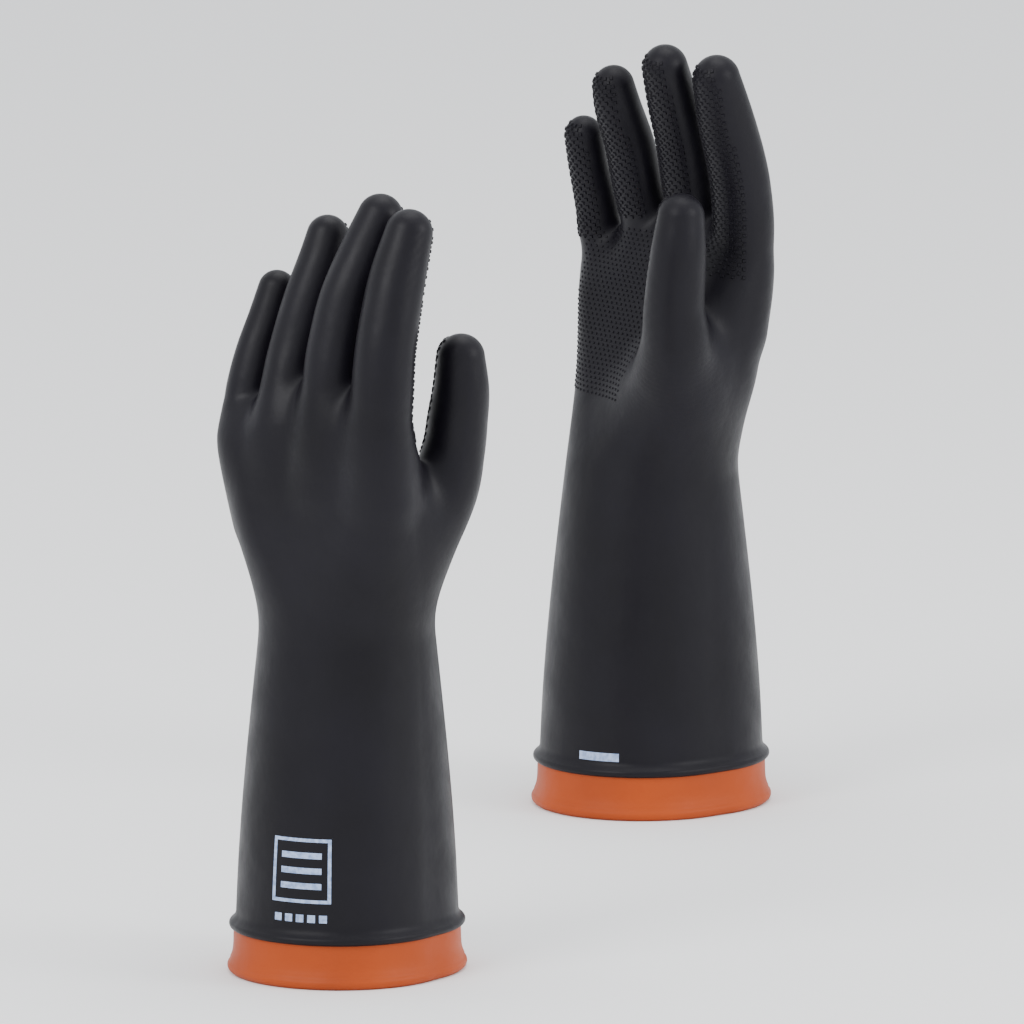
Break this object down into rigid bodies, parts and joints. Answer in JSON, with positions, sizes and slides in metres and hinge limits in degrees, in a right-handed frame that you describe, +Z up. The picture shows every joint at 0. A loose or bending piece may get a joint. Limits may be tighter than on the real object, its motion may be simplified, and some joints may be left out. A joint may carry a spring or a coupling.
{
  "type": "electrical insulating gloves",
  "caption": "Long rubber gloves with a black outer layer, rolled bead and flared orange liner at the cuff; the fingers, thumb and wrist bend.",
  "frame": {"origin": "on the floor, at the middle of the pair's box", "axes": "+Z up from the cuffs to the fingertips; -Y is the front; the left glove stands at -X, nearer the front"},
  "size_m": [0.2932, 0.5951, 0.4108],
  "materials": {
    "black_rubber": "matte",
    "orange_rubber": "matte",
    "cuff_print": "matte"
  },
  "bodies": {
    "left_gauntlet": {"left_gauntlet_shell": "black_rubber", "left_gauntlet_liner": "orange_rubber", "left_cuff_print": "cuff_print"},
    "left_hand": {"left_hand_shell": "black_rubber", "left_hand_liner": "orange_rubber"},
    "left_thumb_root": {"left_thumb_root_shell": "black_rubber", "left_thumb_root_liner": "orange_rubber"},
    "left_thumb_tip": {"left_thumb_tip_shell": "black_rubber", "left_thumb_tip_liner": "orange_rubber"},
    "left_index_root": {"left_index_root_shell": "black_rubber", "left_index_root_liner": "orange_rubber"},
    "left_index_tip": {"left_index_tip_shell": "black_rubber", "left_index_tip_liner": "orange_rubber"},
    "left_middle_root": {"left_middle_root_shell": "black_rubber", "left_middle_root_liner": "orange_rubber"},
    "left_middle_tip": {"left_middle_tip_shell": "black_rubber", "left_middle_tip_liner": "orange_rubber"},
    "left_ring_root": {"left_ring_root_shell": "black_rubber", "left_ring_root_liner": "orange_rubber"},
    "left_ring_tip": {"left_ring_tip_shell": "black_rubber", "left_ring_tip_liner": "orange_rubber"},
    "left_little_root": {"left_little_root_shell": "black_rubber", "left_little_root_liner": "orange_rubber"},
    "left_little_tip": {"left_little_tip_shell": "black_rubber", "left_little_tip_liner": "orange_rubber"},
    "right_gauntlet": {"right_gauntlet_shell": "black_rubber", "right_gauntlet_liner": "orange_rubber", "right_cuff_print": "cuff_print"},
    "right_hand": {"right_hand_shell": "black_rubber", "right_hand_liner": "orange_rubber"},
    "right_thumb_root": {"right_thumb_root_shell": "black_rubber", "right_thumb_root_liner": "orange_rubber"},
    "right_thumb_tip": {"right_thumb_tip_shell": "black_rubber", "right_thumb_tip_liner": "orange_rubber"},
    "right_index_root": {"right_index_root_shell": "black_rubber", "right_index_root_liner": "orange_rubber"},
    "right_index_tip": {"right_index_tip_shell": "black_rubber", "right_index_tip_liner": "orange_rubber"},
    "right_middle_root": {"right_middle_root_shell": "black_rubber", "right_middle_root_liner": "orange_rubber"},
    "right_middle_tip": {"right_middle_tip_shell": "black_rubber", "right_middle_tip_liner": "orange_rubber"},
    "right_ring_root": {"right_ring_root_shell": "black_rubber", "right_ring_root_liner": "orange_rubber"},
    "right_ring_tip": {"right_ring_tip_shell": "black_rubber", "right_ring_tip_liner": "orange_rubber"},
    "right_little_root": {"right_little_root_shell": "black_rubber", "right_little_root_liner": "orange_rubber"},
    "right_little_tip": {"right_little_tip_shell": "black_rubber", "right_little_tip_liner": "orange_rubber"}
  },
  "joints": [
    {"name": "left_wrist_bend", "type": "hinge", "parent": "left_gauntlet", "child": "left_hand", "pos_m": [-0.08, -0.232, 0.186], "axis": [-0.8192, 0.5736, 0], "range_deg": [-20, 20], "stiffness_Nm_per_rad": 2},
    {"name": "left_thumb_root_bend", "type": "hinge", "parent": "left_hand", "child": "left_thumb_root", "pos_m": [-0.02244, -0.23959, 0.288], "axis": [0.1733, -0.9827, -0.066], "range_deg": [0, 20], "stiffness_Nm_per_rad": 0.08},
    {"name": "left_thumb_middle_bend", "type": "hinge", "parent": "left_thumb_root", "child": "left_thumb_tip", "pos_m": [-0.02045, -0.2411, 0.308], "axis": [0.1731, -0.9816, -0.0808], "range_deg": [0, 25], "stiffness_Nm_per_rad": 0.08},
    {"name": "left_index_root_bend", "type": "hinge", "parent": "left_hand", "child": "left_index_root", "pos_m": [-0.06036, -0.27822, 0.332], "axis": [-0.8191, 0.5735, 0.0145], "range_deg": [0, 35], "stiffness_Nm_per_rad": 0.08},
    {"name": "left_index_middle_bend", "type": "hinge", "parent": "left_index_root", "child": "left_index_tip", "pos_m": [-0.05453, -0.27059, 0.367], "axis": [-0.8187, 0.5732, 0.0339], "range_deg": [0, 35], "stiffness_Nm_per_rad": 0.08},
    {"name": "left_middle_root_bend", "type": "hinge", "parent": "left_hand", "child": "left_middle_root", "pos_m": [-0.08556, -0.25301, 0.333], "axis": [-0.8154, 0.571, 0.0955], "range_deg": [0, 35], "stiffness_Nm_per_rad": 0.08},
    {"name": "left_middle_middle_bend", "type": "hinge", "parent": "left_middle_root", "child": "left_middle_tip", "pos_m": [-0.07419, -0.24462, 0.371], "axis": [-0.8099, 0.5671, 0.1498], "range_deg": [0, 35], "stiffness_Nm_per_rad": 0.08},
    {"name": "left_ring_root_bend", "type": "hinge", "parent": "left_hand", "child": "left_ring_root", "pos_m": [-0.10602, -0.22697, 0.331], "axis": [-0.8177, 0.5726, 0.0587], "range_deg": [0, 35], "stiffness_Nm_per_rad": 0.08},
    {"name": "left_ring_middle_bend", "type": "hinge", "parent": "left_ring_root", "child": "left_ring_tip", "pos_m": [-0.09761, -0.21967, 0.361], "axis": [-0.8158, 0.5712, 0.09], "range_deg": [0, 35], "stiffness_Nm_per_rad": 0.08},
    {"name": "left_little_root_bend", "type": "hinge", "parent": "left_hand", "child": "left_little_root", "pos_m": [-0.12907, -0.20741, 0.315], "axis": [-0.8188, 0.5733, 0.0294], "range_deg": [0, 35], "stiffness_Nm_per_rad": 0.08},
    {"name": "left_little_middle_bend", "type": "hinge", "parent": "left_little_root", "child": "left_little_tip", "pos_m": [-0.12357, -0.20357, 0.332], "axis": [-0.8091, 0.5665, 0.1564], "range_deg": [0, 35], "stiffness_Nm_per_rad": 0.08},
    {"name": "right_wrist_bend", "type": "hinge", "parent": "right_gauntlet", "child": "right_hand", "pos_m": [0.08, 0.232, 0.186], "axis": [0.6428, -0.766, 0], "range_deg": [-20, 20], "stiffness_Nm_per_rad": 2},
    {"name": "right_thumb_root_bend", "type": "hinge", "parent": "right_hand", "child": "right_thumb_root", "pos_m": [0.09257, 0.17532, 0.288], "axis": [-0.994, 0.087, 0.066], "range_deg": [0, 20], "stiffness_Nm_per_rad": 0.08},
    {"name": "right_thumb_middle_bend", "type": "hinge", "parent": "right_thumb_root", "child": "right_thumb_tip", "pos_m": [0.09426, 0.17347, 0.308], "axis": [-0.9929, 0.0869, 0.0808], "range_deg": [0, 25], "stiffness_Nm_per_rad": 0.08},
    {"name": "right_index_root_bend", "type": "hinge", "parent": "right_hand", "child": "right_index_root", "pos_m": [0.12776, 0.21646, 0.332], "axis": [0.6427, -0.766, -0.0145], "range_deg": [0, 35], "stiffness_Nm_per_rad": 0.08},
    {"name": "right_index_middle_bend", "type": "hinge", "parent": "right_index_root", "child": "right_index_tip", "pos_m": [0.12066, 0.20999, 0.367], "axis": [0.6424, -0.7656, -0.0339], "range_deg": [0, 35], "stiffness_Nm_per_rad": 0.08},
    {"name": "right_middle_root_bend", "type": "hinge", "parent": "right_hand", "child": "right_middle_root", "pos_m": [0.10045, 0.23937, 0.333], "axis": [0.6399, -0.7625, -0.0955], "range_deg": [0, 35], "stiffness_Nm_per_rad": 0.08},
    {"name": "right_middle_middle_bend", "type": "hinge", "parent": "right_middle_root", "child": "right_middle_tip", "pos_m": [0.09308, 0.22731, 0.371], "axis": [0.6355, -0.7574, -0.1498], "range_deg": [0, 35], "stiffness_Nm_per_rad": 0.08},
    {"name": "right_ring_root_bend", "type": "hinge", "parent": "right_hand", "child": "right_ring_root", "pos_m": [0.07272, 0.25748, 0.331], "axis": [0.6417, -0.7647, -0.0587], "range_deg": [0, 35], "stiffness_Nm_per_rad": 0.08},
    {"name": "right_ring_middle_bend", "type": "hinge", "parent": "right_ring_root", "child": "right_ring_tip", "pos_m": [0.06618, 0.24847, 0.361], "axis": [0.6402, -0.7629, -0.09], "range_deg": [0, 35], "stiffness_Nm_per_rad": 0.08},
    {"name": "right_little_root_bend", "type": "hinge", "parent": "right_hand", "child": "right_little_root", "pos_m": [0.05122, 0.27874, 0.315], "axis": [0.6425, -0.7657, -0.0294], "range_deg": [0, 35], "stiffness_Nm_per_rad": 0.08},
    {"name": "right_little_middle_bend", "type": "hinge", "parent": "right_little_root", "child": "right_little_tip", "pos_m": [0.04788, 0.27293, 0.332], "axis": [0.6349, -0.7566, -0.1564], "range_deg": [0, 35], "stiffness_Nm_per_rad": 0.08},
    {"name": "right_glove_slide", "type": "slide", "parent": "left_gauntlet", "child": "right_gauntlet", "axis": [0, -1, 0], "range_m": [0, 0.464]}
  ]
}
